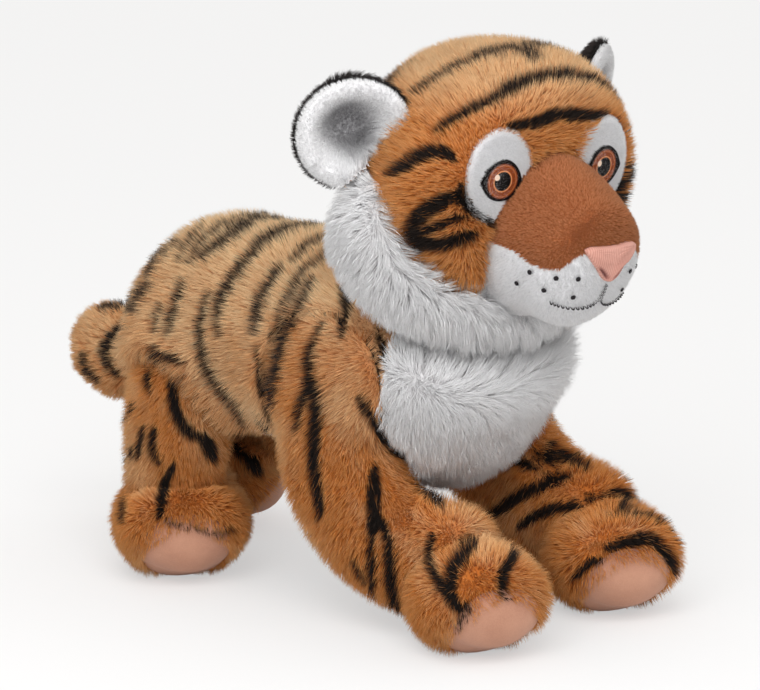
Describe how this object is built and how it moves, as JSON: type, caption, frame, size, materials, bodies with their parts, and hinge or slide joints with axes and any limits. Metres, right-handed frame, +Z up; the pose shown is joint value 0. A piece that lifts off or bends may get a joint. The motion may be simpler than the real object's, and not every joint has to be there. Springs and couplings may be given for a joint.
{
  "type": "plush tiger",
  "caption": "Plush tiger cub standing on four stuffed legs, with a soft neck, cupped ears and a short tail, each turning at its seam.",
  "frame": {"origin": "on the floor, under the middle of the toy's box", "axes": "+X forward, the way the chest faces; +Y to the tiger's left; +Z up"},
  "size_m": [0.3562, 0.2136, 0.2909],
  "materials": {
    "striped_coat": "long orange pile with soft dark stripes",
    "white_plush": "long white pile",
    "black_plush": "black pile",
    "brown_nap": "short brushed nap",
    "white_nap": "short brushed nap",
    "nose_cloth": "ribbed pink cloth",
    "sole_suede": "matt short suede cloth",
    "eye_thread": "satin embroidery thread",
    "filling": "polyester fibre filling"
  },
  "bodies": {
    "torso": {"torso_coat": "striped_coat", "chest_panel": "white_plush", "torso_filling": "filling"},
    "neck": {"neck_coat": "white_plush", "neck_filling": "filling"},
    "head": {"head_coat": "striped_coat", "head_filling": "filling", "cheek_ruff": "white_plush", "muzzle_bridge": "brown_nap", "lower_muzzle": "white_nap", "nose": "nose_cloth", "eye_patch_right": "white_nap", "eye_patch_left": "white_nap", "eye_right": "eye_thread", "eye_left": "eye_thread"},
    "ear_right": {"ear_back_right": "black_plush", "ear_lining_right": "white_nap"},
    "ear_left": {"ear_back_left": "black_plush", "ear_lining_left": "white_nap"},
    "foreleg_right": {"foreleg_coat_right": "striped_coat", "foreleg_pad_right": "sole_suede", "foreleg_filling_right": "filling"},
    "foreleg_left": {"foreleg_coat_left": "striped_coat", "foreleg_pad_left": "sole_suede", "foreleg_filling_left": "filling"},
    "hindleg_right": {"hindleg_coat_right": "striped_coat", "hindleg_pad_right": "sole_suede", "hindleg_filling_right": "filling"},
    "hindleg_left": {"hindleg_coat_left": "striped_coat", "hindleg_pad_left": "sole_suede", "hindleg_filling_left": "filling"},
    "tail": {"tail_coat": "striped_coat", "tail_filling": "filling"}
  },
  "joints": [
    {"name": "neck_nod", "type": "hinge", "parent": "torso", "child": "neck", "pos_m": [0.0523, -0.0042, 0.16], "axis": [0, 1, 0], "range_deg": [-10, 10], "stiffness_Nm_per_rad": 2.5},
    {"name": "head_turn", "type": "hinge", "parent": "neck", "child": "head", "pos_m": [0.0523, -0.0042, 0.16], "axis": [0.5, 0, 0.866], "range_deg": [-15, 30], "stiffness_Nm_per_rad": 1.5},
    {"name": "ear_fold_right", "type": "hinge", "parent": "head", "child": "ear_right", "pos_m": [0.06386, -0.06786, 0.24479], "axis": [0.572, 0.5885, 0.5715], "range_deg": [-12, 12], "stiffness_Nm_per_rad": 0.15},
    {"name": "ear_fold_left", "type": "hinge", "parent": "head", "child": "ear_left", "pos_m": [0.07909, 0.06567, 0.236], "axis": [-0.4339, 0.6226, -0.6512], "range_deg": [-12, 12], "stiffness_Nm_per_rad": 0.15},
    {"name": "foreleg_swing_right", "type": "hinge", "parent": "torso", "child": "foreleg_right", "pos_m": [0.02732, -0.0532, 0.11702], "axis": [0, 1, 0], "range_deg": [-12, 12], "stiffness_Nm_per_rad": 3},
    {"name": "foreleg_swing_left", "type": "hinge", "parent": "torso", "child": "foreleg_left", "pos_m": [0.02732, 0.0448, 0.11702], "axis": [0, 1, 0], "range_deg": [-12, 12], "stiffness_Nm_per_rad": 3},
    {"name": "hindleg_swing_right", "type": "hinge", "parent": "torso", "child": "hindleg_right", "pos_m": [-0.07801, -0.04438, 0.0954], "axis": [0, 1, 0], "range_deg": [-12, 12], "stiffness_Nm_per_rad": 3},
    {"name": "hindleg_swing_left", "type": "hinge", "parent": "torso", "child": "hindleg_left", "pos_m": [-0.07801, 0.03598, 0.0954], "axis": [0, 1, 0], "range_deg": [-12, 12], "stiffness_Nm_per_rad": 3},
    {"name": "tail_wag", "type": "hinge", "parent": "torso", "child": "tail", "pos_m": [-0.1127, -0.0042, 0.095], "axis": [0, 0, 1], "range_deg": [-25, 25], "stiffness_Nm_per_rad": 0.3}
  ]
}
